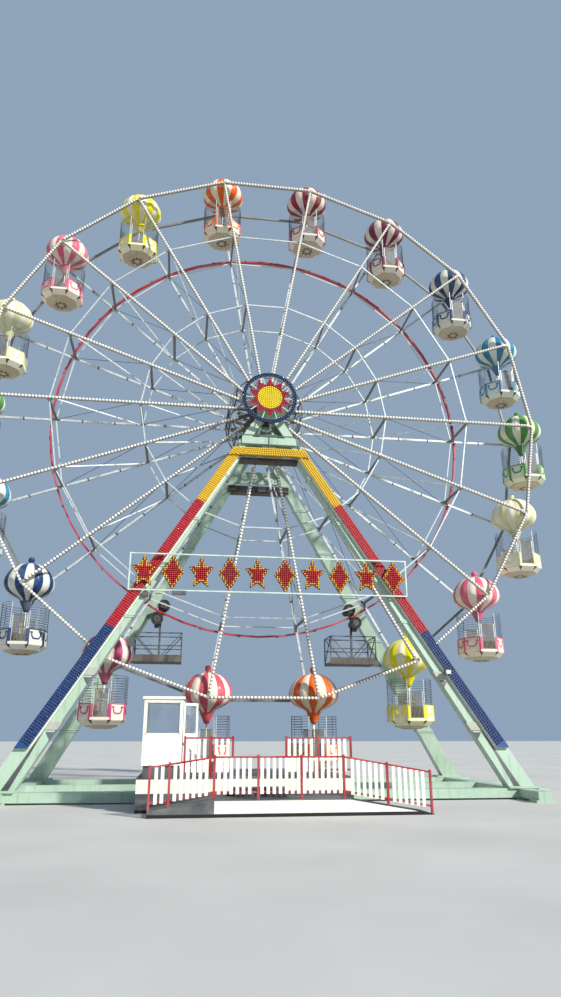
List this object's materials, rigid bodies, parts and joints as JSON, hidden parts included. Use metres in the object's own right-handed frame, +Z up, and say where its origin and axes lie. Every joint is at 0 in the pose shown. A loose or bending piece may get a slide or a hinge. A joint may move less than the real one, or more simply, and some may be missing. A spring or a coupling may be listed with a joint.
{
  "type": "ferris wheel",
  "caption": "Giant wheel on two A-frames with balloon-shaped gondolas that stay level, friction tyre drives, light boards, a star sign and a loading platform with an operator's booth.",
  "frame": {"origin": "on the ground straight under the hub, at the underside of the middle ground beam's pad", "axes": "+Z up, +Y along the wheel's axle towards the rear, so the front with the booth and the sign faces -Y; +X to the right as seen from the front"},
  "size_m": [25.82, 13.3, 28.1586],
  "materials": {
    "galvanised_steel": "dull galvanised",
    "dark_steel": "satin",
    "white_paint": "satin",
    "red_paint": "satin",
    "mint_paint": "satin",
    "light_panel_yellow": "gloss",
    "tyre_rubber": "matte",
    "tread_plate": "matte",
    "balloon_maroon": "gloss",
    "balloon_plum": "gloss",
    "balloon_navy": "gloss",
    "balloon_teal": "gloss",
    "balloon_green": "gloss",
    "balloon_cream": "gloss",
    "balloon_pink": "gloss",
    "balloon_yellow": "gloss",
    "balloon_orange": "gloss"
  },
  "bodies": {
    "base": {"base_frame": "mint_paint", "front_frame": "mint_paint", "rear_frame": "mint_paint", "light_panels": "light_panel_yellow", "star_disc": "light_panel_yellow", "sign": "red_paint", "drive_left": "dark_steel", "drive_right": "dark_steel", "loading_deck": "tread_plate", "operator_booth": "white_paint", "walkway_fence": "red_paint", "deck_fence": "red_paint"},
    "wheel": {"hub": "galvanised_steel", "spoke_01": "galvanised_steel", "spoke_02": "galvanised_steel", "spoke_03": "galvanised_steel", "spoke_04": "galvanised_steel", "spoke_05": "galvanised_steel", "spoke_06": "galvanised_steel", "spoke_07": "galvanised_steel", "spoke_08": "galvanised_steel", "spoke_09": "galvanised_steel", "spoke_10": "galvanised_steel", "spoke_11": "galvanised_steel", "spoke_12": "galvanised_steel", "spoke_13": "galvanised_steel", "spoke_14": "galvanised_steel", "spoke_15": "galvanised_steel", "spoke_16": "galvanised_steel", "spoke_17": "galvanised_steel", "spoke_18": "galvanised_steel", "front_rim": "white_paint", "rear_rim": "dark_steel", "tie_ring_front_inner": "dark_steel", "tie_ring_front_outer": "dark_steel", "tie_ring_rear_inner": "dark_steel", "drive_ring": "red_paint"},
    "gondola_01": {"gondola_01": "balloon_maroon"},
    "gondola_02": {"gondola_02": "balloon_plum"},
    "gondola_03": {"gondola_03": "balloon_navy"},
    "gondola_04": {"gondola_04": "balloon_teal"},
    "gondola_05": {"gondola_05": "balloon_green"},
    "gondola_06": {"gondola_06": "balloon_cream"},
    "gondola_07": {"gondola_07": "balloon_pink"},
    "gondola_08": {"gondola_08": "balloon_yellow"},
    "gondola_09": {"gondola_09": "balloon_orange"},
    "gondola_10": {"gondola_10": "balloon_maroon"},
    "gondola_11": {"gondola_11": "balloon_plum"},
    "gondola_12": {"gondola_12": "balloon_navy"},
    "gondola_13": {"gondola_13": "balloon_teal"},
    "gondola_14": {"gondola_14": "balloon_green"},
    "gondola_15": {"gondola_15": "balloon_cream"},
    "gondola_16": {"gondola_16": "balloon_pink"},
    "gondola_17": {"gondola_17": "balloon_yellow"},
    "gondola_18": {"gondola_18": "balloon_orange"},
    "drive_tyre_left_inner": {"drive_tyre_left_inner": "tyre_rubber"},
    "drive_tyre_left_outer": {"drive_tyre_left_outer": "tyre_rubber"},
    "drive_tyre_right_inner": {"drive_tyre_right_inner": "tyre_rubber"},
    "drive_tyre_right_outer": {"drive_tyre_right_outer": "tyre_rubber"},
    "booth_door": {"booth_door": "white_paint"}
  },
  "joints": [
    {"name": "wheel_spin", "type": "hinge", "parent": "base", "child": "wheel", "pos_m": [0, 0, 15.2], "axis": [0, 1, 0], "continuous": true},
    {"name": "gondola_01_pivot", "type": "hinge", "parent": "wheel", "child": "gondola_01", "pos_m": [2.07336, 0, 26.9586], "axis": [0, 1, 0], "continuous": true},
    {"name": "gondola_02_pivot", "type": "hinge", "parent": "wheel", "child": "gondola_02", "pos_m": [5.97, 0, 25.54034], "axis": [0, 1, 0], "continuous": true},
    {"name": "gondola_03_pivot", "type": "hinge", "parent": "wheel", "child": "gondola_03", "pos_m": [9.14657, 0, 22.87488], "axis": [0, 1, 0], "continuous": true},
    {"name": "gondola_04_pivot", "type": "hinge", "parent": "wheel", "child": "gondola_04", "pos_m": [11.21993, 0, 19.28372], "axis": [0, 1, 0], "continuous": true},
    {"name": "gondola_05_pivot", "type": "hinge", "parent": "wheel", "child": "gondola_05", "pos_m": [11.94, 0, 15.2], "axis": [0, 1, 0], "continuous": true},
    {"name": "gondola_06_pivot", "type": "hinge", "parent": "wheel", "child": "gondola_06", "pos_m": [11.21993, 0, 11.11628], "axis": [0, 1, 0], "continuous": true},
    {"name": "gondola_07_pivot", "type": "hinge", "parent": "wheel", "child": "gondola_07", "pos_m": [9.14657, 0, 7.52512], "axis": [0, 1, 0], "continuous": true},
    {"name": "gondola_08_pivot", "type": "hinge", "parent": "wheel", "child": "gondola_08", "pos_m": [5.97, 0, 4.85966], "axis": [0, 1, 0], "continuous": true},
    {"name": "gondola_09_pivot", "type": "hinge", "parent": "wheel", "child": "gondola_09", "pos_m": [2.07336, 0, 3.4414], "axis": [0, 1, 0], "continuous": true},
    {"name": "gondola_10_pivot", "type": "hinge", "parent": "wheel", "child": "gondola_10", "pos_m": [-2.07336, 0, 3.4414], "axis": [0, 1, 0], "continuous": true},
    {"name": "gondola_11_pivot", "type": "hinge", "parent": "wheel", "child": "gondola_11", "pos_m": [-5.97, 0, 4.85966], "axis": [0, 1, 0], "continuous": true},
    {"name": "gondola_12_pivot", "type": "hinge", "parent": "wheel", "child": "gondola_12", "pos_m": [-9.14657, 0, 7.52512], "axis": [0, 1, 0], "continuous": true},
    {"name": "gondola_13_pivot", "type": "hinge", "parent": "wheel", "child": "gondola_13", "pos_m": [-11.21993, 0, 11.11628], "axis": [0, 1, 0], "continuous": true},
    {"name": "gondola_14_pivot", "type": "hinge", "parent": "wheel", "child": "gondola_14", "pos_m": [-11.94, 0, 15.2], "axis": [0, 1, 0], "continuous": true},
    {"name": "gondola_15_pivot", "type": "hinge", "parent": "wheel", "child": "gondola_15", "pos_m": [-11.21993, 0, 19.28372], "axis": [0, 1, 0], "continuous": true},
    {"name": "gondola_16_pivot", "type": "hinge", "parent": "wheel", "child": "gondola_16", "pos_m": [-9.14657, 0, 22.87488], "axis": [0, 1, 0], "continuous": true},
    {"name": "gondola_17_pivot", "type": "hinge", "parent": "wheel", "child": "gondola_17", "pos_m": [-5.97, 0, 25.54034], "axis": [0, 1, 0], "continuous": true},
    {"name": "gondola_18_pivot", "type": "hinge", "parent": "wheel", "child": "gondola_18", "pos_m": [-2.07336, 0, 26.9586], "axis": [0, 1, 0], "continuous": true},
    {"name": "drive_tyre_left_inner_spin", "type": "hinge", "parent": "base", "child": "drive_tyre_left_inner", "pos_m": [-3.92491, 1.28, 7.15274], "axis": [0, 1, 0], "continuous": true},
    {"name": "drive_tyre_left_outer_spin", "type": "hinge", "parent": "base", "child": "drive_tyre_left_outer", "pos_m": [-4.18688, 1.28, 6.61562], "axis": [0, 1, 0], "continuous": true},
    {"name": "drive_tyre_right_inner_spin", "type": "hinge", "parent": "base", "child": "drive_tyre_right_inner", "pos_m": [3.92491, 1.28, 7.15274], "axis": [0, 1, 0], "continuous": true},
    {"name": "drive_tyre_right_outer_spin", "type": "hinge", "parent": "base", "child": "drive_tyre_right_outer", "pos_m": [4.18688, 1.28, 6.61562], "axis": [0, 1, 0], "continuous": true},
    {"name": "booth_door_hinge", "type": "hinge", "parent": "base", "child": "booth_door", "pos_m": [-2.98, -6.54, 1.29], "axis": [0, 0, 1], "range_deg": [-40, 45]}
  ],
  "couplings": [
    {"joint": "gondola_01_pivot", "follows": "wheel_spin", "ratio": -1},
    {"joint": "gondola_02_pivot", "follows": "wheel_spin", "ratio": -1},
    {"joint": "gondola_03_pivot", "follows": "wheel_spin", "ratio": -1},
    {"joint": "gondola_04_pivot", "follows": "wheel_spin", "ratio": -1},
    {"joint": "gondola_05_pivot", "follows": "wheel_spin", "ratio": -1},
    {"joint": "gondola_06_pivot", "follows": "wheel_spin", "ratio": -1},
    {"joint": "gondola_07_pivot", "follows": "wheel_spin", "ratio": -1},
    {"joint": "gondola_08_pivot", "follows": "wheel_spin", "ratio": -1},
    {"joint": "gondola_09_pivot", "follows": "wheel_spin", "ratio": -1},
    {"joint": "gondola_10_pivot", "follows": "wheel_spin", "ratio": -1},
    {"joint": "gondola_11_pivot", "follows": "wheel_spin", "ratio": -1},
    {"joint": "gondola_12_pivot", "follows": "wheel_spin", "ratio": -1},
    {"joint": "gondola_13_pivot", "follows": "wheel_spin", "ratio": -1},
    {"joint": "gondola_14_pivot", "follows": "wheel_spin", "ratio": -1},
    {"joint": "gondola_15_pivot", "follows": "wheel_spin", "ratio": -1},
    {"joint": "gondola_16_pivot", "follows": "wheel_spin", "ratio": -1},
    {"joint": "gondola_17_pivot", "follows": "wheel_spin", "ratio": -1},
    {"joint": "gondola_18_pivot", "follows": "wheel_spin", "ratio": -1},
    {"joint": "drive_tyre_left_inner_spin", "follows": "wheel_spin", "ratio": 36.838},
    {"joint": "drive_tyre_left_outer_spin", "follows": "wheel_spin", "ratio": -37.18},
    {"joint": "drive_tyre_right_inner_spin", "follows": "wheel_spin", "ratio": 36.838},
    {"joint": "drive_tyre_right_outer_spin", "follows": "wheel_spin", "ratio": -37.18}
  ]
}
